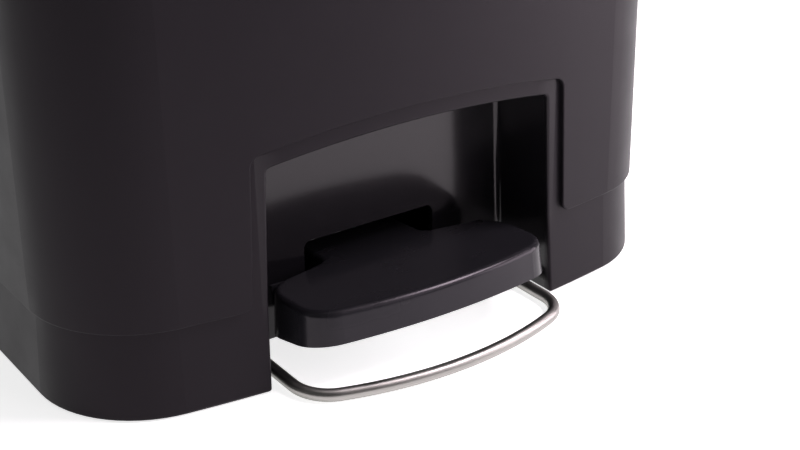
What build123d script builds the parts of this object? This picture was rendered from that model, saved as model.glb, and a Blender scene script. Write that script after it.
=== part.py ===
from build123d import *
import os
from math import asin, cos, pi, radians, sin, sqrt, tan

# Pedal trash can: a tall black moulded body with a foot recess at the front, a T-shaped
# pedal in the recess, a steel anti-tip loop on the floor, a lift-out bucket and a rear
# hinged lid. Millimetres. X is left to right, Y front to back, Z up, floor at Z = 0.

# ---------------------------------------------------------------- driving dimensions
LOOP_REACH = 40.3          # front of the steel loop ahead of the body's front apex
HINGE_REACH = 313.8        # rear of the hinge lugs behind the body's front apex
FACE_Y = LOOP_REACH - (LOOP_REACH + HINGE_REACH) / 2
BODY_DEPTH = 300.0
REAR_Y = FACE_Y + BODY_DEPTH
HALF_WIDTH = 192.0
FRONT_RADIUS = 902.0
FRONT_CORNER = 60.0
REAR_CORNER = 34.0
WALL = 3.0

SHELL_BOTTOM = 0.6
PLINTH_TOP = 50.2
FLARE_TOP = PLINTH_TOP - 0.6
SHELL_TOP = 566.0
PANEL_PROUD = 3.0          # the upper panel stands this far in front of the plinth's top
PANEL_EDGE = 0.8
PANEL_CUT_Y = FACE_Y + 40
PLINTH_FLARE = 3.43        # degrees, the plinth widens towards the floor
PANEL_TAPER = 0.573        # degrees, the body narrows towards the top

RECESS_HALF = 90.0         # at the springing of the arch
RECESS_SPRING = 124.0
RECESS_RISE = 7.4
RECESS_DEPTH = 50.2
RECESS_SPLAY = 0.038       # the jambs move out this much for each millimetre down
RECESS_BORDER = 9.7        # plain border between the recess and the proud panel
MOUTH_EDGE = 1.5
FOOT_EDGE = 1.6            # corners where the jambs meet the body's lower edge
BACK_WALL_Y = FACE_Y + RECESS_DEPTH

SLOT_HALF = 43.7
SLOT_TOP = 54.3
SLOT_BOTTOM = 16.0
SLOT_CORNER = 4.5

PIVOT_Y = FACE_Y + 95.0
PIVOT_Z = 33.0
REST_TILT = 4.47           # degrees, the pedal's front is up at rest
TREAD_TOP = 5.0            # tread surface above the pivot, in the lever's own frame
AXLE_R = 4.0

HINGE_Y = REAR_Y + 7.8
HINGE_Z = 592.0
HINGE_R = 6.0
PIN_R = 2.5
ROD_Y = HINGE_Y - 20.0
ROD_X = 10.0
ROD_R = 3.0
ROD_BEND = 7.0
HOOK_END_X = -6.0          # both hooks of the rod end here
CRANK_SLOPE = 40.0         # degrees, the crank points this far below level when closed
ARM_LENGTH = ROD_Y - PIVOT_Y
PRESSED_TILT = 5.03        # degrees, the pedal's front is down when pressed
ROD_TRAVEL = ARM_LENGTH * (sin(radians(REST_TILT)) + sin(radians(PRESSED_TILT)))
ROD_PIN_TOP = HINGE_Z - ROD_TRAVEL / 2
ROD_PIN_BOTTOM = PIVOT_Z - ARM_LENGTH * sin(radians(REST_TILT))

BASE_BOTTOM = 7.4
BASE_TOP = 10.4
SHELF_BOTTOM = 58.0
SHELF_TOP = 61.0
COLLAR_BOTTOM = 556.0
COLLAR_TOP = 582.0
LID_BOTTOM = 584.5
LID_TOP = 636.0
LID_WALL = 2.5
BUCKET_BOTTOM = 61.5
BUCKET_TOP = 570.0
BUCKET_WALL = 2.0

LOOP_R = 3.56
LOOP_HALF = 85.3
LOOP_APEX = 36.74
LOOP_FRONT_RADIUS = 213.0
LOOP_CORNER = 23.0
LOOP_BEND = 6.0            # the tails turn up on this radius
NUT_HOLE_R = LOOP_R + 0.05
WASHER_THICK = 1.4
GAP = 0.3

FOOT_PLACES = [(-140, FACE_Y + 72), (140, FACE_Y + 72), (-140, REAR_Y - 45), (140, REAR_Y - 45)]
BOSS_PLACES = [(-172, FACE_Y + 110), (172, FACE_Y + 110), (-172, REAR_Y - 70), (172, REAR_Y - 70),
               (-110, REAR_Y - 12), (110, REAR_Y - 12)]
SHELF_POSTS = [(-150, FACE_Y + 90), (150, FACE_Y + 90), (-150, REAR_Y - 60), (150, REAR_Y - 60)]
GUIDE_HEIGHTS = [170.0, 500.0]
GUIDE_SCREW_X = -6.0
SCREW_R = 2.0
COUNTERSINK_R = 4.2
COUNTERSINK_DEPTH = 2.2
FOOT_STEM_R = 5.0
BUSH_R = 6.0
BRACKET_FOOT = BASE_TOP + 2.5
BRACKET_INNER = 22.0
BRACKET_OUTER = 25.0
BRACKET_TOE = 44.0
CLIP_X = 26.5
CLIP_GROOVE_R = 3.2
BRACKET_SCREWS = [(x, PIVOT_Y + y) for x in (-36, 36) for y in (-8, 8)]
BUFFER_Y = PIVOT_Y - 25.0
BUFFER_HALF = 22.0
BUFFER_TOP = 20.6
PEG_X = 14.0
PEG_R = 3.0
LOOP_TAIL_Y = BACK_WALL_Y + 45.0
LOOP_TAIL_TOP = 20.0
GUARD_BOTTOM = 66.0
GUARD_TOP = 540.0

# tread, in the lever's own frame: the axle is the origin and the lever is level
TREAD_FRONT = -95.0 - 24.6
TREAD_FRONT_RADIUS = 290.0
TREAD_HALF = 78.5
TREAD_CORNER = 20.0
TREAD_EDGE = 3.8
TREAD_DRAFT = 4.0          # degrees, the skirt widens downwards
TREAD_WALL = 3.0
SKIRT_DEPTH = 17.6         # at the front
SKIRT_SLOPE = 8.0          # degrees, the skirt deepens to the rear
TREAD_REAR = -95.0 + 36.0
NECK_HALF = 34.2
NECK_END = -16.0
NECK_DEPTH = 14.0
TREAD_SCREWS = [(x, y) for x in (-9, 9) for y in (-96, -40)]
RIB_ROWS = (-100, -78, -56)
LEVER_HALF = 18.0
LEVER_INNER = 15.5
LEVER_FRONT = -104.0
LEVER_FLOOR = -9.0
CHANNEL_TOP = 2.0
CHANNEL_WEB = -0.5         # underside of the channel's top
ARM_HALF = 2.0

BUCKET_SIDE_GAP = 14.0
BUCKET_REAR_GAP = 32.0
BUCKET_TAPER = 0.5
NOTCH_TOP = RECESS_SPRING + RECESS_RISE + WALL + 5
GRIP_Y = FACE_Y + 140.0
GRIP_Z = 530.0
GRIP_LENGTH = 90.0
GRIP_HEIGHT = 24.0
RIM_PROUD = 3.5            # the bucket's rim overhangs its wall
RIM_DEPTH = 4.0

HINGE_INNER = 60.5
HINGE_OUTER = 89.5
DOME_RADIUS = 1500.0
LINER_BOTTOM = 586.5
LINER_SCREWS = [(x, y) for x in (-150, 150) for y in (FACE_Y + 55, REAR_Y - 40)]
CRANK_FLANGE = HINGE_Z + 10.0
CRANK_THICK = 3.0
CRANK_SLOT_FROM = 19.7     # reach of the slot's two ends from the hinge
CRANK_SLOT_TO = 25.8
CRANK_SCREWS = [(10, HINGE_Y - 24), (24, HINGE_Y - 24)]
BUMPER_PLACES = [(x, y) for x in (-186.6, 186.6) for y in (FACE_Y + 90, REAR_Y - 60)]


# ---------------------------------------------------------------- shared helpers
def body_outline(grow=0.0, rear_y=REAR_Y):
    """Plan of the body at the plinth's top, grown outwards; the front is a shallow arc."""
    sag = FRONT_RADIUS - sqrt(FRONT_RADIUS**2 - HALF_WIDTH**2)
    front = ThreePointArc((-HALF_WIDTH, FACE_Y + sag), (0, FACE_Y), (HALF_WIDTH, FACE_Y + sag))
    rest = Polyline((HALF_WIDTH, FACE_Y + sag), (HALF_WIDTH, rear_y), (-HALF_WIDTH, rear_y),
                    (-HALF_WIDTH, FACE_Y + sag))
    plan = make_face(front.edges() + rest.edges())
    corners = plan.vertices().sort_by(Axis.Y)
    plan = fillet(corners[:2], FRONT_CORNER)
    plan = fillet(plan.vertices().sort_by(Axis.Y)[-2:], REAR_CORNER)
    return offset(plan, grow) if grow else plan


def column(grow, z_low, z_high, taper=0.0):
    """Body plan grown by grow at z_low and extruded to z_high."""
    return extrude(Pos(0, 0, z_low) * body_outline(grow), amount=z_high - z_low, taper=taper)


def prism_y(face, y_low, y_high):
    """Face drawn in X and Z, extruded from y_low to y_high."""
    return extrude(Plane.XZ.offset(-y_high) * face, amount=y_high - y_low)


def block(x_low, x_high, y_low, y_high, z_low, z_high):
    size = (x_high - x_low, y_high - y_low, z_high - z_low)
    centre = ((x_low + x_high) / 2, (y_low + y_high) / 2, (z_low + z_high) / 2)
    return Pos(*centre) * Box(*size)


def pillar(x, y, z_low, z_high, radius):
    return Pos(x, y, (z_low + z_high) / 2) * Cylinder(radius, z_high - z_low)


def bar_x(x_low, x_high, y, z, radius):
    """Round bar along X."""
    return Pos((x_low + x_high) / 2, y, z) * Rot(0, 90, 0) * Cylinder(radius, x_high - x_low)


def bar_y(x, y_low, y_high, z, radius):
    """Round bar along Y."""
    return Pos(x, (y_low + y_high) / 2, z) * Rot(90, 0, 0) * Cylinder(radius, y_high - y_low)


def tilted(shape):
    """Puts a shape drawn in the lever's own frame at its resting place on the axle."""
    return Pos(0, PIVOT_Y, PIVOT_Z) * Rot(-REST_TILT, 0, 0) * shape


def pan_screw(length, radius=2.0, head=3.8):
    """Pan-head screw: shank down from Z = 0, domed head above, cross recess."""
    shank = Pos(0, 0, -length / 2) * Cylinder(radius, length)
    dome = Pos(0, 0, 1.3) * Cylinder(head, 2.6)
    dome = fillet(dome.edges().sort_by(Axis.Z)[-1:], 1.2)
    cross = Pos(0, 0, 2.2) * (Box(head * 1.1, 0.9, 1.6) + Box(0.9, head * 1.1, 1.6))
    return shank + dome - cross


# ---------------------------------------------------------------- body
def recess_outline(grow, corner, low):
    """Recess seen from the front: splayed jambs under a shallow arch with tight corners."""
    radius = (RECESS_HALF**2 + RECESS_RISE**2) / (2 * RECESS_RISE)
    centre_z = RECESS_SPRING + RECESS_RISE - radius
    half = RECESS_HALF + grow
    arch = radius + grow
    spring = centre_z + sqrt(arch**2 - half**2)
    foot = half + RECESS_SPLAY * (spring - low)
    top = ThreePointArc((-half, spring), (0, centre_z + arch), (half, spring))
    legs = Polyline((half, spring), (foot, low), (-foot, low), (-half, spring))
    face = make_face(top.edges() + legs.edges())
    return fillet(face.vertices().sort_by(Axis.Y)[-2:], corner)


def border_outline(grow, corner, step_corner):
    """Area the proud panel leaves free: the recess with its border, open to the plinth."""
    around = recess_outline(grow, corner, PLINTH_TOP - 10)
    below = Pos(0, PLINTH_TOP - 10) * Rectangle(3 * HALF_WIDTH, 20)
    area = around + below
    inner = [v for v in area.vertices() if abs(v.Y - PLINTH_TOP) < 0.1 and abs(v.X) < 150]
    return fillet(inner, step_corner)


def rim_edges(panel):
    """Outer edges of the panel's lower rim and of its step round the recess."""
    chosen = []
    for edge in panel.edges():
        middle = edge.center()
        along_y = abs(edge.tangent_at(0.5).Y) > 0.95
        in_pocket = abs(middle.X) < 150 and middle.Y < 0 and (along_y or middle.Y > PANEL_CUT_Y - 5)
        if middle.Z < RECESS_SPRING + 21 and not in_pocket:
            chosen.append(edge)
    return chosen


def mouth_edges(shell):
    """Front edges of the recess: both jambs and the arch."""
    chosen = []
    for edge in shell.edges():
        middle = edge.center()
        ahead = FACE_Y - 4 < middle.Y < FACE_Y + 5.6
        within = abs(middle.X) < RECESS_HALF + 4.5 and 8 < middle.Z < RECESS_SPRING + RECESS_RISE + 0.2
        if ahead and within and edge.length > 1:
            chosen.append(edge)
    return chosen


def foot_edges(shell):
    """Lower edges of the recess walls, from the front to the back wall."""
    chosen = []
    for edge in shell.edges():
        middle = edge.center()
        at_jamb = RECESS_HALF + 2 < abs(middle.X) < RECESS_HALF + 6.5 and middle.Y < BACK_WALL_Y
        if at_jamb and abs(middle.Z - SHELL_BOTTOM) < 0.05 and edge.length > 30:
            chosen.append(edge)
    return chosen


def outer_skin():
    plinth = extrude(Pos(0, 0, FLARE_TOP) * body_outline(), amount=SHELL_BOTTOM - FLARE_TOP,
                     taper=-PLINTH_FLARE)
    core = column(0, FLARE_TOP, SHELL_TOP, PANEL_TAPER)
    panel = column(PANEL_PROUD, PLINTH_TOP - 5, SHELL_TOP, PANEL_TAPER)
    panel -= prism_y(border_outline(RECESS_BORDER, 6.5, 6.0), FACE_Y - 20, PANEL_CUT_Y)
    panel -= block(-300, 300, PANEL_CUT_Y - 1, 300, PLINTH_TOP - 10, PLINTH_TOP)
    panel = fillet(rim_edges(panel), PANEL_EDGE)
    return plinth + core + panel


def inner_space():
    low = extrude(Pos(0, 0, FLARE_TOP) * body_outline(-WALL), amount=-FLARE_TOP - 2,
                  taper=-PLINTH_FLARE)
    joggle = column(-WALL, FLARE_TOP - 0.01, SHELL_TOP + 1, PANEL_TAPER)
    high = column(0, PLINTH_TOP + WALL, SHELL_TOP + 1, PANEL_TAPER)
    border = prism_y(recess_outline(RECESS_BORDER + WALL, 8, -5), FACE_Y - 20, PANEL_CUT_Y)
    return low + joggle + (high - border)


def outer_shell():
    pocket = prism_y(recess_outline(0, 3.2, -10), FACE_Y - 30, BACK_WALL_Y)
    pocket = fillet(pocket.edges().filter_by(Axis.Z, 4).sort_by(Axis.Y)[-2:], 4.0)
    lining = prism_y(recess_outline(WALL, 6, SHELL_BOTTOM), FACE_Y - 30, BACK_WALL_Y + WALL)
    skin = outer_skin()
    shell = skin - inner_space() + (lining & skin) - pocket
    shell = fillet(mouth_edges(shell), MOUTH_EDGE)
    shell = fillet(foot_edges(shell), FOOT_EDGE)
    slot = Pos(0, (SLOT_TOP + SLOT_BOTTOM) / 2) * RectangleRounded(
        2 * SLOT_HALF, SLOT_TOP - SLOT_BOTTOM, SLOT_CORNER)
    shell -= prism_y(slot, BACK_WALL_Y - 5, BACK_WALL_Y + 10)
    for side in (-1, 1):
        notch = prism_y(Pos(side * LOOP_HALF, 2) * SlotOverall(16, 2 * LOOP_R + 1.2, 90),
                        BACK_WALL_Y - 1, BACK_WALL_Y + 10)
        shell -= notch
    for x, y in BOSS_PLACES:
        shell += wall_boss(x, y) & column(-1, SHELL_BOTTOM, SHELL_TOP)
        shell -= pillar(x, y, BASE_TOP - 1, 26, SCREW_R)
    for z in GUIDE_HEIGHTS:
        shell -= bar_y(GUIDE_SCREW_X, REAR_Y - 12, REAR_Y + 12, z, SCREW_R)
    return shell


def wall_boss(x, y):
    """Screw boss beside the wall, joined to it by a web."""
    reach = 24
    if abs(x) > 150:
        ends = sorted((x, x + reach * (1 if x > 0 else -1)))
        web = block(*ends, y - 1.2, y + 1.2, BASE_TOP, 34)
    else:
        web = block(x - 1.2, x + 1.2, y, y + reach, BASE_TOP, 34)
    return pillar(x, y, BASE_TOP, 34, 5.5) + web


# ---------------------------------------------------------------- base and floor contact
def base_plate():
    plate = column(-0.9, BASE_BOTTOM, BASE_TOP)
    for x in (-120, -60, 60, 120):
        plate += block(x - 1, x + 1, BACK_WALL_Y + 30, REAR_Y - 30, BASE_TOP, 17)
    for x, y in SHELF_POSTS:
        plate += pillar(x, y, BASE_TOP, SHELF_BOTTOM, 7)
    plate -= block(-98.1, 98.1, FACE_Y - 30, BACK_WALL_Y + WALL + GAP, 0, 30)
    for x, y in BOSS_PLACES:
        plate -= pillar(x, y, BASE_BOTTOM - 1, BASE_TOP + 1, SCREW_R)
    for x, y in FOOT_PLACES:
        plate -= pillar(x, y, BASE_BOTTOM - 1, BASE_TOP + 1, FOOT_STEM_R)
    for x, y in SHELF_POSTS:
        plate -= pillar(x, y, SHELF_BOTTOM - 14, SHELF_BOTTOM + 1, SCREW_R)
    for x, y in BRACKET_SCREWS:
        plate -= pillar(x, y, BASE_BOTTOM - 1, BASE_TOP + 1, SCREW_R)
    for side in (-1, 1):
        plate -= pillar(side * LOOP_HALF, LOOP_TAIL_Y, BASE_BOTTOM - 1, BASE_TOP + 1, 5.2)
        plate -= pillar(side * PEG_X, BUFFER_Y, BASE_BOTTOM - 1, BASE_TOP + 1, PEG_R)
    return plate


def base_screws():
    screw = Rot(180, 0, 0) * pan_screw(16)
    return [Pos(x, y, BASE_BOTTOM) * screw for x, y in BOSS_PLACES]


def rubber_feet():
    pad = Pos(0, 0, BASE_BOTTOM / 2) * Cone(11, 13, BASE_BOTTOM)
    pad = fillet(pad.edges().sort_by(Axis.Z)[:1], 1.2)
    stem = Pos(0, 0, (BASE_BOTTOM + BASE_TOP) / 2) * Cylinder(FOOT_STEM_R, BASE_TOP - BASE_BOTTOM)
    head = Pos(0, 0, BASE_TOP + 1.2) * Cone(6.5, 4.5, 2.4)
    return [Pos(x, y, 0) * (pad + stem + head) for x, y in FOOT_PLACES]


def anti_tip_loop():
    """Bent steel wire lying on the floor, its two tails turned up through the base plate."""
    centre_y = FACE_Y - LOOP_APEX + LOOP_FRONT_RADIUS
    corner_x = LOOP_HALF - LOOP_CORNER
    inner = LOOP_FRONT_RADIUS - LOOP_CORNER
    corner_y = centre_y - sqrt(inner**2 - corner_x**2)
    turn = asin(corner_x / inner)

    def front(angle):
        return (LOOP_FRONT_RADIUS * sin(angle), centre_y - LOOP_FRONT_RADIUS * cos(angle), LOOP_R)

    def corner(angle, side):
        return (side * (corner_x + LOOP_CORNER * sin(angle)), corner_y - LOOP_CORNER * cos(angle), LOOP_R)

    edges = [ThreePointArc(front(-turn), front(0), front(turn))]
    half_turn = (turn + pi / 2) / 2
    for side in (-1, 1):
        x = side * LOOP_HALF
        slant = LOOP_BEND * (1 - sqrt(0.5))
        tail_low = (x, LOOP_TAIL_Y, LOOP_R + LOOP_BEND)
        leg_end = (x, LOOP_TAIL_Y - LOOP_BEND, LOOP_R)
        edges.append(ThreePointArc(corner(turn, side), corner(half_turn, side), corner(pi / 2, side)))
        edges.append(Line(corner(pi / 2, side), leg_end))
        edges.append(ThreePointArc(leg_end, (x, LOOP_TAIL_Y - slant, LOOP_R + slant), tail_low))
        edges.append(Line(tail_low, (x, LOOP_TAIL_Y, LOOP_TAIL_TOP)))
    path = Wire([edge for part in edges for edge in part.edges()])
    start = Plane(origin=(-LOOP_HALF, LOOP_TAIL_Y, LOOP_TAIL_TOP), z_dir=(0, 0, -1))
    return sweep(start * Circle(LOOP_R), path)


def loop_washers():
    ring = Cylinder(9, WASHER_THICK) - Cylinder(NUT_HOLE_R, 2)
    ring = Pos(0, 0, BASE_TOP + WASHER_THICK / 2) * ring
    return [Pos(side * LOOP_HALF, LOOP_TAIL_Y, 0) * ring for side in (-1, 1)]


def loop_nuts():
    nut = extrude(RegularPolygon(6.2, 6), amount=5) - Cylinder(NUT_HOLE_R, 20)
    return [Pos(side * LOOP_HALF, LOOP_TAIL_Y, BASE_TOP + WASHER_THICK) * nut for side in (-1, 1)]


# ---------------------------------------------------------------- pedal
def tread_plan(inset):
    """Plan of the pedal: a curved front, rounded wing tips and a neck, inset all round."""
    radius = TREAD_FRONT_RADIUS - inset
    half = TREAD_HALF - inset
    front = TREAD_FRONT + inset
    sag = radius - sqrt(radius**2 - half**2)
    neck = NECK_HALF - inset
    side_rear = TREAD_REAR - inset
    neck_rear = side_rear + (half - neck) * tan(radians(12.2))
    arc = ThreePointArc((-half, front + sag), (0, front), (half, front + sag))
    rest = Polyline((half, front + sag), (half, side_rear), (neck, neck_rear), (neck, NECK_END - inset),
                    (-neck, NECK_END - inset), (-neck, neck_rear), (-half, side_rear), (-half, front + sag))
    plan = make_face(arc.edges() + rest.edges())

    def round_off(plan, test, radius):
        return fillet([v for v in plan.vertices() if test(v)], radius)

    plan = round_off(plan, lambda v: v.Y < TREAD_FRONT + 30 and abs(v.X) > 60, TREAD_CORNER - inset)
    plan = round_off(plan, lambda v: v.Y > TREAD_REAR - 8 and abs(v.X) > half - 1, 22 - inset)
    return round_off(plan, lambda v: abs(abs(v.X) - neck) < 0.5 and v.Y < NECK_END - 20, 5 + inset)


def pedal_tread():
    """One moulding, open underneath: flat top, rolled edges, skirt that deepens to the rear."""
    solid = extrude(Pos(0, 0, TREAD_TOP) * tread_plan(0), amount=-40, taper=-TREAD_DRAFT)
    solid = fillet(solid.faces().sort_by(Axis.Z)[-1].edges(), TREAD_EDGE)
    skirt_end = Pos(0, TREAD_FRONT, TREAD_TOP - SKIRT_DEPTH) * Rot(-SKIRT_SLOPE, 0, 0)
    solid -= skirt_end * Pos(0, 0, -50) * Box(400, 400, 100)
    solid -= block(-90, 90, -50, 0, -60, TREAD_TOP - NECK_DEPTH)
    under_plan = Pos(0, 0, TREAD_TOP - TREAD_WALL) * tread_plan(TREAD_WALL)
    solid -= extrude(under_plan, amount=-40, taper=-TREAD_DRAFT)
    solid -= block(-18.4, 18.4, NECK_END - 5, NECK_END + 5, -60, TREAD_TOP - TREAD_WALL)
    for y in RIB_ROWS:
        for side in (-1, 1):
            solid += block(*sorted((side * 18.3, side * 72)), y - 1, y + 1, -8, TREAD_TOP - 2)
    for x, y in TREAD_SCREWS:
        solid -= pillar(x, y, 1, 4.2, SCREW_R)
    return tilted(solid)


def pedal_lever():
    """Steel channel under the tread, pivoted on the axle, with a flat arm welded in its rear."""
    channel = block(-LEVER_HALF, LEVER_HALF, LEVER_FRONT, 12, LEVER_FLOOR, CHANNEL_TOP)
    channel -= block(-LEVER_INNER, LEVER_INNER, LEVER_FRONT - 6, 20, -20, CHANNEL_WEB)
    channel -= block(-30, 30, NECK_END + 2, 20, CHANNEL_WEB, CHANNEL_TOP + 3)
    for side in (-1, 1):
        channel += bar_x(*sorted((side * LEVER_INNER, side * LEVER_HALF)), 0, 0, 10)
    channel -= bar_x(-30, 30, 0, 0, BUSH_R)
    channel -= block(-30, 30, -30, -12, -20, LEVER_FLOOR)
    arm = block(-ARM_HALF, ARM_HALF, -60, ARM_LENGTH, -5.5, CHANNEL_WEB)
    arm += block(-ARM_HALF, ARM_HALF, -10, ARM_LENGTH, CHANNEL_WEB, 5.5)
    arm += bar_x(-ARM_HALF, ARM_HALF, ARM_LENGTH + 0.5, 0, 7)
    arm -= bar_x(-3, 3, 0, 0, AXLE_R + 0.6)
    play = ROD_R + 0.35
    slot = block(-3, 3, ARM_LENGTH - 0.7, ARM_LENGTH + 1.5, -play, play)
    slot += bar_x(-3, 3, ARM_LENGTH - 0.7, 0, play) + bar_x(-3, 3, ARM_LENGTH + 1.5, 0, play)
    for x, y in TREAD_SCREWS:
        channel -= pillar(x, y, -2, 3, SCREW_R)
    return tilted(channel + arm - slot)


def tread_screws():
    screw = Rot(180, 0, 0) * pan_screw(4.6)
    return [tilted(Pos(x, y, CHANNEL_WEB) * screw) for x, y in TREAD_SCREWS]


def lever_bushes():
    made = []
    for side in (-1, 1):
        bush = bar_x(*sorted((side * (LEVER_INNER - 0.3), side * LEVER_HALF)), 0, 0, BUSH_R)
        bush += bar_x(*sorted((side * LEVER_HALF, side * (BRACKET_INNER - 0.4))), 0, 0, 8)
        bush -= bar_x(-40, 40, 0, 0, AXLE_R + 0.06)
        made.append(tilted(bush))
    return made


def axle_brackets():
    made = []
    for side in (-1, 1):
        sheet = sorted((side * BRACKET_INNER, side * BRACKET_OUTER))
        toe = sorted((side * BRACKET_INNER, side * BRACKET_TOE))
        upright = block(*sheet, PIVOT_Y - 14, PIVOT_Y + 14, BASE_TOP, PIVOT_Z)
        upright += bar_x(*sheet, PIVOT_Y, PIVOT_Z, 10)
        foot = block(*toe, PIVOT_Y - 14, PIVOT_Y + 14, BASE_TOP, BRACKET_FOOT)
        bracket = upright + foot - bar_x(-40, 40, PIVOT_Y, PIVOT_Z, AXLE_R)
        for x, y in BRACKET_SCREWS:
            bracket -= pillar(x, y, BASE_TOP - 1, BRACKET_FOOT + 1, SCREW_R)
        made.append(bracket)
    return made


def bracket_screws():
    return [Pos(x, y, BRACKET_FOOT) * pan_screw(9) for x, y in BRACKET_SCREWS]


def pedal_axle():
    axle = bar_x(-30, 30, PIVOT_Y, PIVOT_Z, AXLE_R)
    axle = chamfer(axle.edges(), 0.6)
    for x in (-CLIP_X, CLIP_X):
        groove = bar_x(x - 0.6, x + 0.6, PIVOT_Y, PIVOT_Z, AXLE_R + 1)
        axle -= groove - bar_x(x - 0.6, x + 0.6, PIVOT_Y, PIVOT_Z, CLIP_GROOVE_R)
    return axle


def axle_clips():
    made = []
    for x in (-CLIP_X, CLIP_X):
        clip = bar_x(x - 0.5, x + 0.5, PIVOT_Y, PIVOT_Z, 7)
        clip -= bar_x(x - 1, x + 1, PIVOT_Y, PIVOT_Z, CLIP_GROOVE_R)
        made.append(clip - block(x - 1, x + 1, PIVOT_Y - 2.6, PIVOT_Y + 2.6, PIVOT_Z - 9, PIVOT_Z))
    return made


def lever_buffer():
    """Rubber block that stops the lever at the bottom of its travel."""
    pad = block(-BUFFER_HALF, BUFFER_HALF, BUFFER_Y - 6, BUFFER_Y + 6, BASE_TOP, BUFFER_TOP)
    pad = fillet(pad.faces().sort_by(Axis.Z)[-1].edges(), 1.5)
    for x in (-PEG_X, PEG_X):
        pad += pillar(x, BUFFER_Y, BASE_BOTTOM, BASE_TOP, PEG_R)
    return pad


# ---------------------------------------------------------------- push rod
def push_rod():
    """Steel rod with a hook bent to one side at each end."""
    bend = ROD_BEND
    slant = bend * (1 - sqrt(0.5))
    top = ROD_PIN_TOP
    low = ROD_PIN_BOTTOM
    edges = [Line((HOOK_END_X, ROD_Y, top), (ROD_X - bend, ROD_Y, top)),
             ThreePointArc((ROD_X - bend, ROD_Y, top), (ROD_X - slant, ROD_Y, top - slant),
                           (ROD_X, ROD_Y, top - bend)),
             Line((ROD_X, ROD_Y, top - bend), (ROD_X, ROD_Y, low + bend)),
             ThreePointArc((ROD_X, ROD_Y, low + bend), (ROD_X - slant, ROD_Y, low + slant),
                           (ROD_X - bend, ROD_Y, low)),
             Line((ROD_X - bend, ROD_Y, low), (HOOK_END_X, ROD_Y, low))]
    path = Wire([edge for part in edges for edge in part.edges()])
    start = Plane(origin=(HOOK_END_X, ROD_Y, top), z_dir=(1, 0, 0))
    return sweep(start * Circle(ROD_R), path)


def rod_clips():
    """Push-on washers that keep both hooks in their slots."""
    near = HOOK_END_X + 0.6
    return [bar_x(near, near + 1.2, ROD_Y, z, 5.5) - bar_x(near - 1, near + 2, ROD_Y, z, ROD_R)
            for z in (ROD_PIN_TOP, ROD_PIN_BOTTOM)]


def rear_wall_y(z):
    """Inner face of the rear wall."""
    return REAR_Y - tan(radians(PANEL_TAPER)) * (z - PLINTH_TOP)


def rod_guides():
    made = []
    for z in GUIDE_HEIGHTS:
        guide = block(-12, 18, ROD_Y - 7, rear_wall_y(z + 9) - 0.05, z - 9, z + 9)
        guide = fillet(guide.edges().filter_by(Axis.Z).sort_by(Axis.Y)[:2], 2.5)
        guide -= pillar(ROD_X, ROD_Y, z - 20, z + 20, ROD_R + 0.09)
        guide -= bar_y(GUIDE_SCREW_X, ROD_Y - 2, REAR_Y + 5, z, SCREW_R)
        made.append(guide)
    return made


def guide_screws():
    made = []
    for z in GUIDE_HEIGHTS:
        face = rear_wall_y(z) + WALL + 0.1
        made.append(Pos(GUIDE_SCREW_X, face, z) * Rot(-90, 0, 0) * pan_screw(12))
    return made


def rod_guard():
    """Thin channel that keeps the bucket and the bag off the rod."""
    front = ROD_Y - 9.2
    rear = rear_wall_y(GUARD_TOP) - 0.2
    outer = block(-14, 20, front, rear, GUARD_BOTTOM, GUARD_TOP)
    outer = fillet(outer.edges().filter_by(Axis.Z).sort_by(Axis.Y)[:2], 2.0)
    return outer - block(-12.3, 18.3, front + 1.6, rear + 5, GUARD_BOTTOM - 1, GUARD_TOP + 1)


# ---------------------------------------------------------------- inside of the body
def countersunk_screw():
    head = Pos(0, 0, -COUNTERSINK_DEPTH / 2) * Cone(SCREW_R, COUNTERSINK_R, COUNTERSINK_DEPTH)
    shank = Pos(0, 0, -6.5) * Cylinder(SCREW_R, 9)
    cross = Pos(0, 0, -0.4) * (Box(4.4, 0.9, 1.6) + Box(0.9, 4.4, 1.6))
    return head + shank - cross


def bucket_shelf():
    """Floor over the mechanism, on posts of the base plate."""
    shelf = column(-0.6, SHELF_BOTTOM, SHELF_TOP)
    shelf -= block(-98.6, 98.6, FACE_Y - 30, BACK_WALL_Y + WALL + GAP, 0, 90)
    shelf -= block(-112, 112, FACE_Y - 30, FACE_Y + 14, 0, 90)
    shelf -= block(ROD_X - 5, ROD_X + 5, ROD_Y - 5, REAR_Y, 0, 90)
    for x, y in SHELF_POSTS:
        sink = Cone(SCREW_R, COUNTERSINK_R, COUNTERSINK_DEPTH)
        shelf -= Pos(x, y, SHELF_TOP - COUNTERSINK_DEPTH / 2) * sink
        shelf -= pillar(x, y, SHELF_BOTTOM - 1, SHELF_TOP, SCREW_R)
    return shelf


def shelf_screws():
    return [Pos(x, y, SHELF_TOP) * countersunk_screw() for x, y in SHELF_POSTS]


def bucket_outline(inset):
    """Plan of the bucket's rim, which leaves room for the rod behind it."""
    return body_outline(-BUCKET_SIDE_GAP - inset, REAR_Y - BUCKET_REAR_GAP + BUCKET_SIDE_GAP)


def bucket_mass(inset, low):
    """Bucket filled in: it narrows downwards and steps back over the foot recess."""
    plan = Pos(0, 0, BUCKET_TOP) * bucket_outline(inset)
    mass = extrude(plan, amount=low - BUCKET_TOP, taper=BUCKET_TAPER)
    notch = block(-300, 300, FACE_Y - 50, BACK_WALL_Y + WALL + 4 + inset, 0, NOTCH_TOP + inset)
    return mass - notch


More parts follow.
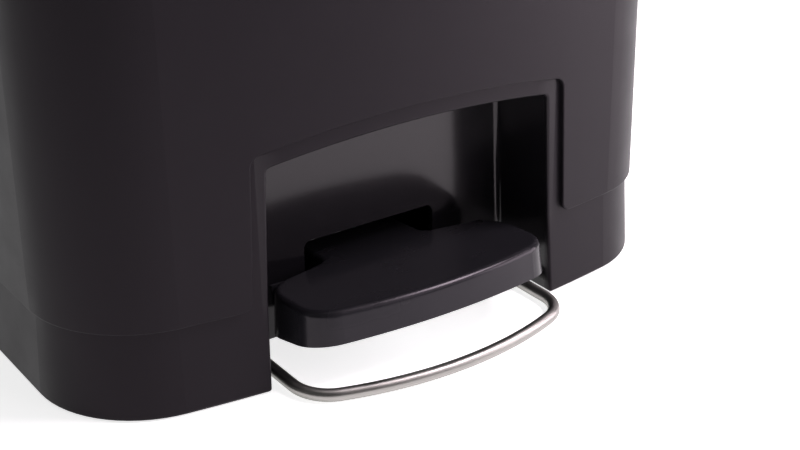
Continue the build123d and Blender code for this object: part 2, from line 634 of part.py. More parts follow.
def inner_bucket():
    shell = bucket_mass(0, BUCKET_BOTTOM)
    inner = bucket_mass(BUCKET_WALL, BUCKET_BOTTOM + BUCKET_WALL)
    rim = Pos(0, 0, BUCKET_TOP - RIM_DEPTH) * extrude(bucket_outline(-RIM_PROUD), amount=RIM_DEPTH)
    rim = fillet(rim.faces().sort_by(Axis.Z)[-1].edges(), 1.5)
    mouth = Pos(0, 0, BUCKET_TOP - 5) * extrude(bucket_outline(BUCKET_WALL), amount=8)
    bucket = shell + rim - inner - mouth
    grip = RectangleRounded(GRIP_LENGTH, GRIP_HEIGHT, 11)
    return bucket - extrude(Plane.YZ.offset(-300) * Pos(GRIP_Y, GRIP_Z) * grip, amount=600)


# ---------------------------------------------------------------- collar and lid
def collar_ring():
    """Ring that caps the shell's edge, with lugs for the lid hinge behind."""
    top = column(0.8, COLLAR_BOTTOM, COLLAR_TOP)
    top = fillet(top.faces().sort_by(Axis.Z)[-1].edges(), 1.5)
    hollow = column(-1.9, COLLAR_BOTTOM - 1, COLLAR_TOP - 2.5) - column(-5.7, COLLAR_BOTTOM - 2, COLLAR_TOP)
    opening = column(-8.2, COLLAR_BOTTOM - 1, COLLAR_TOP + 1)
    skirt_cut = column(-5.6, COLLAR_BOTTOM - 1, COLLAR_BOTTOM + 4)
    ring = top - hollow - opening - skirt_cut
    for side in (-1, 1):
        for x in (HINGE_INNER - 6.3, HINGE_OUTER + 6.3):
            ends = (side * x - 6, side * x + 6)
            lug = bar_x(*ends, HINGE_Y, HINGE_Z, HINGE_R)
            lug += block(*ends, HINGE_Y - 5, HINGE_Y + HINGE_R, COLLAR_TOP - 10, HINGE_Z)
            lug += block(*ends, REAR_Y, HINGE_Y, COLLAR_TOP - 10, COLLAR_TOP)
            ring += lug - bar_x(-200, 200, HINGE_Y, HINGE_Z, PIN_R)
    return ring - block(-7.5, 4.5, REAR_Y - 10, REAR_Y - 0.4, COLLAR_BOTTOM - 1, COLLAR_TOP + 1)


def hinge_pins():
    made = []
    for side in (-1, 1):
        ends = sorted((side * (HINGE_INNER - 12.3), side * (HINGE_OUTER + 12.3)))
        made.append(bar_x(*ends, HINGE_Y, HINGE_Z, PIN_R))
    return made


def lid_mass(grow, low, inset):
    """Lid filled in: sides lean in, the top is a shallow dome with a wide rolled edge."""
    mass = column(grow, low, LID_TOP + 20, 3.0)
    dome = Pos(0, FACE_Y + BODY_DEPTH / 2, LID_TOP - inset - DOME_RADIUS) * Sphere(DOME_RADIUS)
    mass &= dome
    edge = mass.edges().filter_by(lambda e: e.center().Z > LID_TOP - 30 and e.length > 20)
    ring = [e for e in edge if abs(e.tangent_at(0.5).Z) < 0.2 and e.center().Z < LID_TOP - inset]
    return fillet(ring, 16 - inset)


def lid_shell():
    lid = lid_mass(0.8, LID_BOTTOM, 0) - lid_mass(0.8 - LID_WALL, LID_BOTTOM - 1, LID_WALL)
    inside = lid_mass(0.7, LID_BOTTOM, 0.3)
    for x, y in CRANK_SCREWS:
        lid += pillar(x, y, CRANK_FLANGE + CRANK_THICK, LID_TOP, 5) & inside
        lid -= pillar(x, y, CRANK_FLANGE, CRANK_FLANGE + 16, SCREW_R)
    for x, y in LINER_SCREWS:
        lid += pillar(x, y, LINER_BOTTOM + 2, LID_TOP, 4.5) & inside
        lid -= pillar(x, y, LINER_BOTTOM, LINER_BOTTOM + 14, SCREW_R)
    for side in (-1, 1):
        ends = sorted((side * HINGE_INNER, side * HINGE_OUTER))
        knuckle = bar_x(*ends, HINGE_Y, HINGE_Z, HINGE_R)
        knuckle += block(*ends, REAR_Y - 1, HINGE_Y, HINGE_Z - 5, HINGE_Z + HINGE_R)
        lid += knuckle - bar_x(-200, 200, HINGE_Y, HINGE_Z, PIN_R + 0.06)
    return lid


def lid_liner():
    """Panel that closes the lid's underside, open at the rear for the crank."""
    liner = column(0.8 - LID_WALL - GAP, LINER_BOTTOM, LINER_BOTTOM + 2)
    panel = column(-28, LINER_BOTTOM - 1, LINER_BOTTOM + 0.6)
    liner -= panel - block(-300, 300, REAR_Y - 60, REAR_Y, 500, 700)
    liner -= block(-10, 26, REAR_Y - 45, REAR_Y + 5, LINER_BOTTOM - 1, LINER_BOTTOM + 3)
    for x, y in LINER_SCREWS:
        liner -= pillar(x, y, LINER_BOTTOM - 1, LINER_BOTTOM + 3, SCREW_R)
    return liner


def liner_screws():
    screw = Rot(180, 0, 0) * pan_screw(9)
    return [Pos(x, y, LINER_BOTTOM) * screw for x, y in LINER_SCREWS]


def crank_point(reach):
    slope = radians(CRANK_SLOPE)
    return HINGE_Y - reach * cos(slope), HINGE_Z - reach * sin(slope)


def lid_crank():
    """Bent steel plate under the lid; the rod's top hook slides in its slot."""
    near = crank_point(CRANK_SLOT_FROM)
    far = crank_point(CRANK_SLOT_TO)
    plate = bar_x(-2, 2, *near, 7.4) + bar_x(-2, 2, *far, 8)
    plate += block(-2, 2, HINGE_Y - 34, HINGE_Y - 11, HINGE_Z - 14, CRANK_FLANGE + 1)
    plate -= block(-3, 3, HINGE_Y - 8.6, HINGE_Y, 500, 700)
    flange = block(-2, 30, HINGE_Y - 34, HINGE_Y - 14, CRANK_FLANGE, CRANK_FLANGE + CRANK_THICK)
    slot = prism_x(crank_slot(near, far), -3, 3)
    for x, y in CRANK_SCREWS:
        flange -= pillar(x, y, CRANK_FLANGE - 1, CRANK_FLANGE + 4, SCREW_R)
    return plate + flange - slot


def crank_slot(near, far):
    """Slot seen from the side, round at both ends, 1.1 mm wider all round than the rod."""
    middle = ((near[0] + far[0]) / 2, (near[1] + far[1]) / 2)
    slot = SlotCenterToCenter(CRANK_SLOT_TO - CRANK_SLOT_FROM, 2 * (ROD_R + 1.1))
    return Pos(*middle) * Rot(0, 0, CRANK_SLOPE) * slot


def prism_x(face, x_low, x_high):
    """Face drawn in Y and Z, extruded from x_low to x_high."""
    return extrude(Plane.YZ.offset(x_low) * face, amount=x_high - x_low)


def crank_screws():
    screw = Rot(180, 0, 0) * pan_screw(14)
    return [Pos(x, y, CRANK_FLANGE) * screw for x, y in CRANK_SCREWS]


def lid_bumpers():
    pad = Pos(0, 0, (LINER_BOTTOM + COLLAR_TOP + 0.4) / 2) * Cylinder(2.7, LINER_BOTTOM - COLLAR_TOP - 0.4)
    pad = fillet(pad.edges().sort_by(Axis.Z)[:1], 0.8)
    return [Pos(x, y, 0) * pad for x, y in BUMPER_PLACES]


PARTS = [outer_shell, base_plate, base_screws, rubber_feet, anti_tip_loop, loop_washers, loop_nuts,
         axle_brackets, bracket_screws, pedal_axle, axle_clips, lever_buffer, pedal_tread, pedal_lever,
         tread_screws, lever_bushes, push_rod, rod_clips, rod_guides, guide_screws, rod_guard,
         bucket_shelf, shelf_screws, inner_bucket, collar_ring, hinge_pins, lid_shell, lid_liner,
         liner_screws, lid_crank, crank_screws, lid_bumpers]

os.makedirs("parts", exist_ok=True)
for part in PARTS:
    made = part()
    shape = Compound(children=made) if isinstance(made, list) else made
    export_step(shape, f"parts/{part.__name__}.step")
    print(part.__name__, "done", flush=True)
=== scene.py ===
import bpy
import bmesh
from math import cos, pi, radians, sin, sqrt
from mathutils import Matrix, Vector


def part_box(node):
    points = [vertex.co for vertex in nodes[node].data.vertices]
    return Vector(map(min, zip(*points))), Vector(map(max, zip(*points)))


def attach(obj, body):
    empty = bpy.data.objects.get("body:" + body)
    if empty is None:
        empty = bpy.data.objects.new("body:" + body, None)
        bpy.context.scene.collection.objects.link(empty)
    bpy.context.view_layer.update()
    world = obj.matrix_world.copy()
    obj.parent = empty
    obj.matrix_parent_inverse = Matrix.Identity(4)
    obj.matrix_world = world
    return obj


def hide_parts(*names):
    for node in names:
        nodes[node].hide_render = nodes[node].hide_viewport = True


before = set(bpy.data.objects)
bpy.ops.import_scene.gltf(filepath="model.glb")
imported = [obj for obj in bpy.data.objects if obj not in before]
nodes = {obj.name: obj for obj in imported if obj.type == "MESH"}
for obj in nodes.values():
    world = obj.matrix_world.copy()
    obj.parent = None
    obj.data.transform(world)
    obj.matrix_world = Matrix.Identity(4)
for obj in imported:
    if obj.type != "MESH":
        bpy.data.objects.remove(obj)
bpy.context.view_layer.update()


# ------------------------------------------------------------------ studio
# A pale seamless floor, evenly lit from below, under three softboxes to the right of the
# viewer, with more behind, overhead and to the left, and a dim even surround.
VIEW_TURN = radians(34.915)
VIEW_DROP = radians(24.892)
VIEW_ROLL = radians(-0.585)
VIEW_PLACE = (-0.42056, -0.71885, 0.40470)
LENS_MM = 66.64
FILM_MM = 36.0
SURROUND = 0.05
FLOOR_GLOW = 0.76
FLOOR_REACH = 80.0

studio = bpy.context.scene
studio.view_settings.view_transform = "Standard"

lens = bpy.data.cameras.new("studio_camera")
lens.lens = LENS_MM
lens.sensor_width = FILM_MM
lens.clip_start = 0.01
lens.clip_end = 300.0
camera = bpy.data.objects.new("studio_camera", lens)
studio.collection.objects.link(camera)
turned = Matrix.Rotation(-VIEW_TURN, 4, "Z") @ Matrix.Rotation(pi / 2 - VIEW_DROP, 4, "X")
camera.matrix_world = Matrix.Translation(VIEW_PLACE) @ turned @ Matrix.Rotation(VIEW_ROLL, 4, "Z")
studio.camera = camera


class Socket:
    """One output socket; the operators on it add Math nodes to the same tree."""

    def __init__(self, finish, link):
        self.finish = finish
        self.link = link

    def maths(self, operation, *values):
        return self.finish.add("ShaderNodeMath", dict(operation=operation), *values)

    def __add__(self, other):
        return self.maths("ADD", self, other)

    def __sub__(self, other):
        return self.maths("SUBTRACT", self, other)

    def __rsub__(self, other):
        return self.maths("SUBTRACT", other, self)

    def __mul__(self, other):
        return self.maths("MULTIPLY", self, other)

    def __lt__(self, other):
        return self.maths("LESS_THAN", self, other)

    def __abs__(self):
        return self.maths("ABSOLUTE", self)

    def spread(self, low, high, to_low=0.0, to_high=1.0):
        """Maps low..high to to_low..to_high, held at both ends."""
        return self.finish.add("ShaderNodeMapRange", dict(clamp=True), self, low, high, to_low, to_high)

    __radd__ = __add__
    __rmul__ = __mul__


class Finish:
    """A material with a Principled shader, and one method that adds any other node."""

    def __init__(self, name, **fixed):
        self.material = bpy.data.materials.new(name)
        self.material.use_nodes = True
        self.tree = self.material.node_tree
        self.shader = self.tree.nodes["Principled BSDF"]
        for socket, value in fixed.items():
            self.shader.inputs[socket.replace("_", " ")].default_value = value

    def add(self, kind, settings, *values, output=0, **named):
        """Adds a node: its settings first, then its sockets by order or by name."""
        node = self.tree.nodes.new(kind)
        for key, value in settings.items():
            setattr(node, key, value)
        shown = [socket for socket in node.inputs if socket.enabled]
        pairs = list(zip(shown, values))
        pairs += [(node.inputs[key.replace("_", " ")], value) for key, value in named.items()]
        for socket, value in pairs:
            if isinstance(value, Socket):
                self.tree.links.new(value.link, socket)
            else:
                socket.default_value = value
        return Socket(self, [o for o in node.outputs if o.enabled][output])

    def place(self):
        """Object coordinates."""
        return self.add("ShaderNodeTexCoord", {}, output=3)

    def axis(self, letter):
        return self.add("ShaderNodeSeparateXYZ", {}, self.place(), output="XYZ".index(letter))

    def stretched(self, x, y, z):
        return self.add("ShaderNodeMapping", {}, Vector=self.place(), Scale=(x, y, z))

    def noise(self, scale, detail=2.0, vector=None):
        return self.add("ShaderNodeTexNoise", {}, Vector=vector or self.place(), Scale=scale, Detail=detail)

    def mix(self, share, first, second):
        return self.add("ShaderNodeMix", dict(data_type="RGBA"), share, (*first, 1.0), (*second, 1.0))

    def rise(self, height, distance, under=None):
        """Bump from a height in 0..1 that stands for distance metres."""
        extra = dict(Normal=under) if under else {}
        return self.add("ShaderNodeBump", {}, Height=height, Distance=distance, **extra)

    def feed(self, **sockets):
        for name, value in sockets.items():
            self.tree.links.new(value.link, self.shader.inputs[name.replace("_", " ")])
        return self.material


def softbox(name, width, height, power, place, aim, tone=(1.0, 1.0, 1.0)):
    light = bpy.data.lights.new(name, "AREA")
    light.color = tone
    light.shape = "RECTANGLE"
    light.size = width
    light.size_y = height
    light.energy = power
    made = bpy.data.objects.new(name, light)
    studio.collection.objects.link(made)
    away = Vector(place) - Vector(aim)
    made.matrix_world = Matrix.Translation(place) @ away.to_track_quat("Z", "Y").to_matrix().to_4x4()


surround = bpy.data.worlds.new("dim_surround")
surround.use_nodes = True
surround.node_tree.nodes["Background"].inputs["Color"].default_value = (1.0, 1.0, 1.0, 1.0)
surround.node_tree.nodes["Background"].inputs["Strength"].default_value = SURROUND
studio.world = surround

MAIN_TONE = (1.0, 0.89, 0.96)
softbox("softbox_front", 0.9, 0.9, 3.8, (0.75, -1.35, 0.85), (0.0, -0.15, 0.1), MAIN_TONE)
softbox("softbox_low", 0.6, 0.4, 4.2, (0.78, -0.50, 0.26), (0.1, -0.15, 0.12), MAIN_TONE)
softbox("softbox_high", 0.45, 0.45, 13.0, (0.66, -0.56, 0.98), (0.12, -0.15, 0.42), MAIN_TONE)
softbox("softbox_top", 1.4, 1.4, 5.0, (0.0, 0.1, 2.4), (0.0, 0.0, 0.3))
softbox("softbox_left", 1.0, 1.2, 0.8, (-1.9, 0.3, 1.3), (0.0, 0.0, 0.3))
softbox("softbox_back", 1.6, 1.2, 12.0, (0.5, 2.1, 1.5), (0.0, 0.1, 0.3))

floor_mesh = bpy.data.meshes.new("studio_floor")
reach = FLOOR_REACH
floor_mesh.from_pydata([(-reach, -reach, 0), (reach, -reach, 0), (reach, reach, 0), (-reach, reach, 0)], [],
                       [(0, 1, 2, 3)])
floor = bpy.data.objects.new("studio_floor", floor_mesh)
studio.collection.objects.link(floor)
paper = Finish("seamless_paper", Roughness=0.9, Emission_Color=(1.0, 1.0, 1.0, 1.0),
               Emission_Strength=FLOOR_GLOW)
floor_mesh.materials.append(paper.feed(Base_Color=paper.mix(paper.noise(1.5), (0.93,) * 3, (0.95,) * 3)))


# ------------------------------------------------------------------ outer shell
# The tall body: one injection moulding in charcoal polypropylene, with a fine spark-eroded
# grain outside and a polished foot recess. The base plate is screwed up into its bosses.
CHARCOAL_DARK = (0.0070, 0.0064, 0.0080)
CHARCOAL_LIGHT = (0.0092, 0.0084, 0.0102)
CHARCOAL_TINT = (1.0, 0.84, 0.94, 1.0)
CHARCOAL_SHEEN = 0.13
RECESS_HALF = 0.0965
RECESS_FRONT = -0.1322
RECESS_BACK = -0.0850
RECESS_TOP = 0.1320
POLISH_FADE = 0.004


def dress(material, *names):
    """Gives CAD nodes, by name, one material."""
    for name in names:
        mesh = nodes[name].data
        mesh.materials.clear()
        mesh.materials.append(material)


def moulded(finish, dark, light, rough, grain_size, grain_height, scuff):
    """Moulded plastic: slow colour drift, fine grain, thin scuffs that catch the light."""
    drift = finish.noise(5.0, 3.0)
    cloud = finish.noise(45.0, 2.0)
    scratch = finish.noise(1.0, 3.0, finish.stretched(90.0, 90.0, 700.0))
    worn = scratch.spread(0.66, 0.76)
    tone = finish.mix((drift * 0.6 + cloud * 0.4).spread(0.3, 0.7), dark, light)
    gloss = cloud.spread(0.3, 0.7, -0.025, 0.025) + rough + worn * scuff
    grain = finish.noise(1.0 / grain_size, 1.0)
    return finish.feed(Base_Color=tone, Roughness=gloss, Normal=finish.rise(grain, grain_height))


shell_finish = Finish("charcoal_polypropylene", IOR=1.5, Specular_IOR_Level=CHARCOAL_SHEEN,
                      Specular_Tint=CHARCOAL_TINT, Coat_Roughness=0.13, Coat_IOR=1.5)
behind_face = shell_finish.axis("Y").spread(RECESS_FRONT, RECESS_FRONT + POLISH_FADE)
within_width = abs(shell_finish.axis("X")) < RECESS_HALF
under_arch = shell_finish.axis("Z") < RECESS_TOP
before_wall = shell_finish.axis("Y") < RECESS_BACK
polished = behind_face * within_width * under_arch * before_wall
shell_finish.feed(Coat_Weight=polished * 0.5)
moulded(shell_finish, CHARCOAL_DARK, CHARCOAL_LIGHT, 0.41 - polished * 0.2,
        0.0005, 0.00002, 0.06)
dress(shell_finish.material, "outer_shell")

# ------------------------------------------------------------------ collar and lid
# The collar caps the body's edge and carries the hinge; the lid is a shallow dome on it. Both
# are moulded from the body's plastic, and the liner under the lid from a duller one.
top_finish = Finish("charcoal_lid_polypropylene", IOR=1.5, Specular_IOR_Level=CHARCOAL_SHEEN,
                    Specular_Tint=CHARCOAL_TINT)
moulded(top_finish, CHARCOAL_DARK, CHARCOAL_LIGHT, 0.30, 0.0005, 0.00002, 0.08)
dress(top_finish.material, "collar_ring", "lid_shell")

inner_finish = Finish("dull_black_polypropylene", IOR=1.49)
moulded(inner_finish, (0.012, 0.012, 0.0122), (0.018, 0.018, 0.0184), 0.48, 0.0009, 0.00004, 0.05)
dress(inner_finish.material, "lid_liner", "base_plate", "rod_guard", "bucket_shelf")

# ------------------------------------------------------------------ pedal
# The tread is one black moulding with rolled edges, screwed to a steel channel. Shoes have
# left faint smudges on its top.
tread_finish = Finish("satin_black_tread", IOR=1.5, Specular_IOR_Level=0.22,
                      Specular_Tint=(1.0, 0.92, 1.0, 1.0))
smudge = tread_finish.noise(1.0, 4.0, tread_finish.stretched(30.0, 55.0, 30.0)).spread(0.45, 0.7)
tread_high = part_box("pedal_tread")[1]
on_top = tread_finish.axis("Z").spread(tread_high.z - 0.012, tread_high.z - 0.008)
moulded(tread_finish, (0.0115, 0.0112, 0.0136), (0.0150, 0.0145, 0.0172), 0.20 + smudge * on_top * 0.12,
        0.0006, 0.000015, 0.06)
dress(tread_finish.material, "pedal_tread")

# ------------------------------------------------------------------ bucket
# The lift-out bucket is blow-smooth grey polyethylene, matt inside from wear.
bucket_finish = Finish("grey_polyethylene", IOR=1.5)
moulded(bucket_finish, (0.060, 0.063, 0.066), (0.076, 0.079, 0.083), 0.42, 0.0008, 0.00003, 0.07)
dress(bucket_finish.material, "inner_bucket")

# ------------------------------------------------------------------ anti-tip loop
# Seven millimetre stainless wire, bent cold and brushed along its length, so fine lines run
# with the wire all the way round. Its tails turn up through the base and are nutted there.
WIRE_R = 0.00356
LOOP_HALF = 0.0853
LOOP_FRONT_RADIUS = 0.213
LOOP_CORNER = 0.023
TAIL_BEND = 0.006
WIRE_SIDES = 40
FRONT_STEPS = 24
CORNER_STEPS = 20
LEG_STEPS = 12
BEND_STEPS = 8
END_BEVEL = 0.0006
TIP_LENGTH = 0.0008

loop_low, loop_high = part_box("anti_tip_loop")
apex_y = loop_low.y + WIRE_R
tail_y = loop_high.y - WIRE_R
centre_y = apex_y + LOOP_FRONT_RADIUS
inner_radius = LOOP_FRONT_RADIUS - LOOP_CORNER
corner_x = LOOP_HALF - LOOP_CORNER
corner_y = centre_y - sqrt(inner_radius**2 - corner_x**2)
front_turn = Vector((corner_x, centre_y - corner_y)).angle(Vector((0.0, 1.0)))


def loop_half():
    """Centre line of the right half, from the front's middle to the top of the tail."""
    points = []
    for i in range(FRONT_STEPS):
        angle = front_turn * i / FRONT_STEPS
        points.append((LOOP_FRONT_RADIUS * sin(angle), centre_y - LOOP_FRONT_RADIUS * cos(angle), WIRE_R))
    for i in range(CORNER_STEPS + 1):
        angle = front_turn + (pi / 2 - front_turn) * i / CORNER_STEPS
        points.append((corner_x + LOOP_CORNER * sin(angle), corner_y - LOOP_CORNER * cos(angle), WIRE_R))
    leg_end = tail_y - TAIL_BEND
    for i in range(1, LEG_STEPS + 1):
        points.append((LOOP_HALF, corner_y + (leg_end - corner_y) * i / LEG_STEPS, WIRE_R))
    for i in range(1, BEND_STEPS + 1):
        angle = pi / 2 * i / BEND_STEPS
        points.append((LOOP_HALF, leg_end + TAIL_BEND * sin(angle), WIRE_R + TAIL_BEND * (1 - cos(angle))))
    points.append((LOOP_HALF, tail_y, loop_high.z - TIP_LENGTH))
    points.append((LOOP_HALF, tail_y, loop_high.z))
    return [Vector(p) for p in points]


def tube(name, line, radius_at, sides, material):
    """Round bar along a line of points, with a UV map in metres: along it and round it."""
    made = bmesh.new()
    layer = made.loops.layers.uv.new("along")
    rings = []
    travel = [0.0]
    for before, after in zip(line, line[1:]):
        travel.append(travel[-1] + (after - before).length)
    side = Vector((1.0, 0.0, 0.0))
    for i, point in enumerate(line):
        ahead = (line[min(i + 1, len(line) - 1)] - line[max(i - 1, 0)]).normalized()
        side = (side - ahead * side.dot(ahead)).normalized()
        across = ahead.cross(side)
        radius = radius_at(i)
        ring = []
        for k in range(sides):
            angle = 2 * pi * k / sides
            ring.append(made.verts.new(point + radius * (cos(angle) * side + sin(angle) * across)))
        rings.append(ring)
    girth = 2 * pi * radius_at(len(line) // 2)
    for i, (near, far) in enumerate(zip(rings, rings[1:])):
        for k in range(sides):
            after = (k + 1) % sides
            face = made.faces.new((near[k], far[k], far[after], near[after]))
            face.smooth = True
            spots = ((i, k), (i + 1, k), (i + 1, k + 1), (i, k + 1))
            for loop, (step, turn) in zip(face.loops, spots):
                loop[layer].uv = (travel[step], girth * turn / sides)
    made.faces.new(rings[0])
    made.faces.new(list(reversed(rings[-1])))
    bmesh.ops.recalc_face_normals(made, faces=made.faces)
    mesh = bpy.data.meshes.new(name)
    made.to_mesh(mesh)
    made.free()
    mesh.materials.append(material)
    piece = bpy.data.objects.new(name, mesh)
    studio.collection.objects.link(piece)
    return piece


wire_finish = Finish("brushed_stainless_wire", Metallic=1.0, Anisotropic=0.5)
wire_map = wire_finish.add("ShaderNodeUVMap", dict(uv_map="along"))
drawn = wire_finish.add("ShaderNodeMapping", {}, Vector=wire_map, Scale=(14.0, 3600.0, 1.0))
lines = wire_finish.noise(1.0, 2.0, drawn)
blotch = wire_finish.noise(60.0, 3.0)
wire_tone = wire_finish.mix(lines.spread(0.3, 0.7), (0.29, 0.285, 0.268), (0.38, 0.372, 0.352))
wire_gloss = lines.spread(0.3, 0.7, 0.34, 0.42) + blotch.spread(0.3, 0.7, -0.03, 0.05)
wire_finish.feed(Base_Color=wire_tone, Roughness=wire_gloss, Normal=wire_finish.rise(lines, 0.000008))

half_line = loop_half()
mirrored = [Vector((-p.x, p.y, p.z)) for p in half_line[1:]]
whole_line = list(reversed(mirrored)) + half_line
last = len(whole_line) - 1
loop_wire = tube("floor_loop_wire", whole_line, lambda i: WIRE_R - END_BEVEL * (i in (0, last)), WIRE_SIDES,
                 wire_finish.material)
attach(loop_wire, "can_body")
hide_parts("anti_tip_loop")


# ------------------------------------------------------------------ plated steelwork
# Lever, crank, brackets and washers are pressed sheet, zinc plated, with a cloudy sheen; the
# axle, rod, pins and clips are drawn bar, so their lines run lengthwise.
def plated(name, tone, rough, stretch):
    made = Finish(name, Metallic=1.0)
    spangle = made.add("ShaderNodeTexVoronoi", {}, Vector=made.place(), Scale=260.0, output=0)
    streaks = made.noise(1.0, 3.0, made.stretched(*stretch))
    shade = made.mix((streaks * 0.6 + spangle * 0.5).spread(0.2, 0.8), [0.82 * c for c in tone], tone)
    gloss = streaks.spread(0.3, 0.7, rough - 0.05, rough + 0.08)
    return made.feed(Base_Color=shade, Roughness=gloss, Normal=made.rise(streaks, 0.00001))


pressed_zinc = plated("pressed_zinc_plate", (0.58, 0.59, 0.60), 0.34, (350.0, 350.0, 350.0))
drawn_rod = plated("drawn_steel_rod", (0.56, 0.56, 0.56), 0.26, (2200.0, 2200.0, 25.0))
drawn_axle = plated("drawn_steel_axle", (0.56, 0.56, 0.56), 0.26, (25.0, 2200.0, 2200.0))
dress(pressed_zinc, "loop_washers", "loop_nuts", "axle_brackets", "pedal_lever", "lid_crank", "axle_clips",
      "rod_clips", "shelf_screws")
dress(drawn_rod, "push_rod")
dress(drawn_axle, "pedal_axle", "hinge_pins")


# ------------------------------------------------------------------ screws
# Cross-recess pan-head screws, zinc plated, with rolled threads. One recipe makes them all;
# each group takes its places from the plain screws of its CAD node.
class Recipe:
    """A Geometry Nodes tree with named size inputs, made once and used by several pieces."""

    def __init__(self, name, **sizes):
        self.tree = bpy.data.node_groups.new(name, "GeometryNodeTree")
        self.keys = {}
        face = self.tree.interface
        face.new_socket("Places", in_out="INPUT", socket_type="NodeSocketGeometry")
        for label, (kind, value) in sizes.items():
            made = face.new_socket(label, in_out="INPUT", socket_type=kind)
            if value is not None:
                made.default_value = value
            self.keys[label] = made.identifier
        face.new_socket("Made", in_out="OUTPUT", socket_type="NodeSocketGeometry")
        self.entry = self.tree.nodes.new("NodeGroupInput")
        self.end = self.tree.nodes.new("NodeGroupOutput")

    def size(self, label):
        return self.entry.outputs[label]

    def add(self, kind, settings=None, output=0, **named):
        node = self.tree.nodes.new(kind)
        for key, value in (settings or {}).items():
            setattr(node, key, value)
        for key, value in named.items():
            socket = node.inputs[key.replace("_", " ")]
            for one in value if isinstance(value, list) else [value]:
                if isinstance(one, bpy.types.NodeSocket):
                    self.tree.links.new(one, socket)
                else:
                    socket.default_value = one
        return node.outputs[output]

    def maths(self, operation, first, second):
        node = self.tree.nodes.new("ShaderNodeMath")
        node.operation = operation
        for socket, value in zip(node.inputs, (first, second)):
            if isinstance(value, bpy.types.NodeSocket):
                self.tree.links.new(value, socket)
            else:
                socket.default_value = value
        return node.outputs[0]

    def vector(self, x=0.0, y=0.0, z=0.0):
        return self.add("ShaderNodeCombineXYZ", X=x, Y=y, Z=z)

    def finish(self, geometry):
        whole = self.add("GeometryNodeRealizeInstances", Geometry=geometry)
        painted = self.add("GeometryNodeSetMaterial", Geometry=whole, Material=self.size("Finish"))
        self.tree.links.new(painted, self.end.inputs["Made"])


SCREW_HEAD_R = 0.0038
SCREW_HEAD_RISE = 0.0026
SCREW_R = 0.0020
THREAD_PITCH = 0.0011
SLOT_WIDTH = 0.0009
SLOT_DEPTH = 0.0018
REST_TILT = 4.47


def screw_recipe():
    real = "NodeSocketFloat"
    made = Recipe("pan_head_screw", Head_radius=(real, SCREW_HEAD_R), Head_rise=(real, SCREW_HEAD_RISE),
                  Shank_radius=(real, SCREW_R), Length=(real, 0.01), Pitch=(real, THREAD_PITCH),
                  Turn=("NodeSocketRotation", None), Finish=("NodeSocketMaterial", None))
    radius, rise = made.size("Head_radius"), made.size("Head_rise")
    head = made.add("GeometryNodeMeshCylinder", dict(fill_type="TRIANGLE_FAN"), Vertices=28, Side_Segments=2,
                    Fill_Segments=5, Radius=radius, Depth=rise)
    place = made.add("GeometryNodeInputPosition")
    spot = made.add("ShaderNodeSeparateXYZ", Vector=place)
    level = spot.node.outputs["Z"]
    flat = made.add("ShaderNodeCombineXYZ", X=spot, Y=spot.node.outputs["Y"])
    out = made.add("ShaderNodeVectorMath", dict(operation="LENGTH"), output=1, Vector=flat)
    share = made.maths("POWER", made.maths("DIVIDE", out, radius), 3.0)
    drop = made.maths("MULTIPLY", made.maths("MULTIPLY", share, rise), -0.45)
    upper = made.maths("GREATER_THAN", level, made.maths("MULTIPLY", rise, 0.49))
    head = made.add("GeometryNodeSetPosition", Geometry=head, Selection=upper, Offset=made.vector(z=drop))
    head = made.add("GeometryNodeTransform", Geometry=head,
                    Translation=made.vector(z=made.maths("MULTIPLY", rise, 0.5)))
    long_way = made.maths("MULTIPLY", radius, 1.15)
    bars = []
    for turn in (0.0, pi / 2):
        bar = made.add("GeometryNodeMeshCube", Size=made.vector(long_way, SLOT_WIDTH, SLOT_DEPTH))
        bars.append(made.add("GeometryNodeTransform", Geometry=bar, Rotation=(0.0, 0.0, turn),
                             Translation=made.vector(z=rise)))
    cross = made.add("GeometryNodeJoinGeometry", Geometry=bars)
    cut = made.tree.nodes.new("GeometryNodeMeshBoolean")
    cut.operation = "DIFFERENCE"
    made.tree.links.new(head, cut.inputs["Mesh 1"])
    made.tree.links.new(cross, cut.inputs["Mesh 2"])
    core = made.add("GeometryNodeMeshCylinder", Vertices=20, Depth=made.size("Length"),
                    Radius=made.maths("MULTIPLY", made.size("Shank_radius"), 0.84))
    core = made.add("GeometryNodeTransform", Geometry=core,
                    Translation=made.vector(z=made.maths("MULTIPLY", made.size("Length"), -0.5)))
    run = made.maths("MULTIPLY", made.size("Length"), 0.86)
    rounds = made.maths("DIVIDE", run, made.size("Pitch"))
    crest = made.maths("MULTIPLY", made.size("Shank_radius"), 0.90)
    helix = made.add("GeometryNodeCurveSpiral", Resolution=18, Rotations=rounds, Start_Radius=crest,
                     End_Radius=crest, Height=run)
    tooth = made.add("GeometryNodeCurvePrimitiveCircle", Resolution=3,
                     Radius=made.maths("MULTIPLY", made.size("Shank_radius"), 0.11))
    thread = made.add("GeometryNodeCurveToMesh", Curve=helix, Profile_Curve=tooth, Fill_Caps=True)
    thread = made.add("GeometryNodeTransform", Geometry=thread,
                      Translation=made.vector(z=made.maths("MULTIPLY", made.size("Length"), -0.93)))
    screw = made.add("GeometryNodeJoinGeometry", Geometry=[cut.outputs[0], core, thread])
    set_out = made.add("GeometryNodeInstanceOnPoints", Points=made.size("Places"), Instance=screw,
                       Rotation=made.size("Turn"))
    made.finish(set_out)
    return made


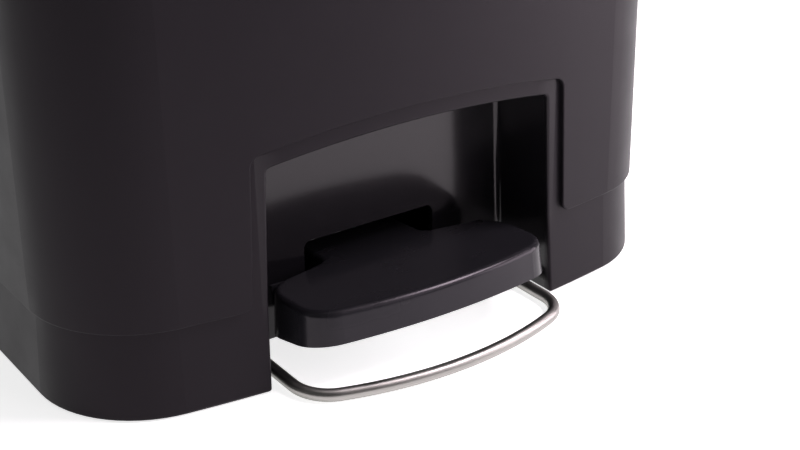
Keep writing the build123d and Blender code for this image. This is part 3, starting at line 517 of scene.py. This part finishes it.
def islands(name):
    """Lowest and highest corner of each separate solid in a CAD node."""
    welded = bmesh.new()
    welded.from_mesh(nodes[name].data)
    bmesh.ops.remove_doubles(welded, verts=welded.verts, dist=1e-6)
    left = set(welded.verts)
    boxes = []
    while left:
        group, edge_of = [], [left.pop()]
        while edge_of:
            vert = edge_of.pop()
            group.append(vert.co.copy())
            for edge in vert.link_edges:
                other = edge.other_vert(vert)
                if other in left:
                    left.remove(other)
                    edge_of.append(other)
        low = Vector([min(p[i] for p in group) for i in range(3)])
        high = Vector([max(p[i] for p in group) for i in range(3)])
        boxes.append((low, high))
    welded.free()
    return sorted(boxes, key=lambda pair: tuple(round(c, 4) for c in pair[0]))


def made_by(recipe, name, places, material, **sizes):
    """Runs a recipe on a cloud of points and keeps the result as one plain mesh."""
    cloud = bpy.data.meshes.new(name + "_places")
    cloud.from_pydata(places, [], [])
    carrier = bpy.data.objects.new(name + "_places", cloud)
    studio.collection.objects.link(carrier)
    modifier = carrier.modifiers.new("recipe", "NODES")
    modifier.node_group = recipe.tree
    for label, value in sizes.items():
        modifier[recipe.keys[label]] = value
    modifier[recipe.keys["Finish"]] = material
    evaluated = carrier.evaluated_get(bpy.context.evaluated_depsgraph_get())
    mesh = bpy.data.meshes.new_from_object(evaluated)
    carrier.modifiers.remove(modifier)
    bpy.data.objects.remove(carrier)
    mesh.name = name
    piece = bpy.data.objects.new(name, mesh)
    studio.collection.objects.link(piece)
    return piece


def screw_group(node, body, direction, length, turn):
    """Screws for a CAD node; direction is the way from the seat to the head's top."""
    way = Vector(direction)
    seats = []
    for low, high in islands(node):
        middle = (low + high) / 2
        reach = abs((high - low).dot(way)) / 2
        seats.append(middle + way * (reach - SCREW_HEAD_RISE))
    piece = made_by(screw_pattern, node.replace("screws", "pan_screws"), seats, screw_zinc, Length=length,
                    Turn=turn)
    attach(piece, body)
    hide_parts(node)


screw_zinc = plated("screw_zinc_plate", (0.60, 0.60, 0.59), 0.30, (900.0, 900.0, 900.0))
screw_pattern = screw_recipe()
DOWN_TURN = (pi, 0.0, 0.0)
BACK_TURN = (-pi / 2, 0.0, 0.0)
LEVER_TURN = (pi - radians(REST_TILT), 0.0, 0.0)
screw_group("base_screws", "can_body", (0, 0, -1), 0.016, DOWN_TURN)
screw_group("bracket_screws", "can_body", (0, 0, 1), 0.009, (0.0, 0.0, 0.0))
screw_group("guide_screws", "can_body", (0, 1, 0), 0.012, BACK_TURN)
screw_group("tread_screws", "pedal", (0, 0, -1), 0.0046, LEVER_TURN)
screw_group("liner_screws", "lid", (0, 0, -1), 0.009, DOWN_TURN)
screw_group("crank_screws", "lid", (0, 0, -1), 0.014, DOWN_TURN)

# ------------------------------------------------------------------ rubber and nylon
# Feet, lever buffer and lid bumpers are moulded black rubber with a dusty bloom; the bushes
# and rod guides are natural nylon, slightly translucent and grease-stained.
rubber_finish = Finish("black_rubber", IOR=1.5)
moulded(rubber_finish, (0.010, 0.010, 0.010), (0.019, 0.019, 0.019), 0.68, 0.0007, 0.00005, 0.05)
dress(rubber_finish.material, "rubber_feet", "lever_buffer", "lid_bumpers")
nylon_finish = Finish("natural_nylon", IOR=1.53, Subsurface_Weight=0.15)
moulded(nylon_finish, (0.56, 0.54, 0.46), (0.70, 0.68, 0.61), 0.38, 0.0010, 0.00003, 0.05)
dress(nylon_finish.material, "lever_bushes", "rod_guides")
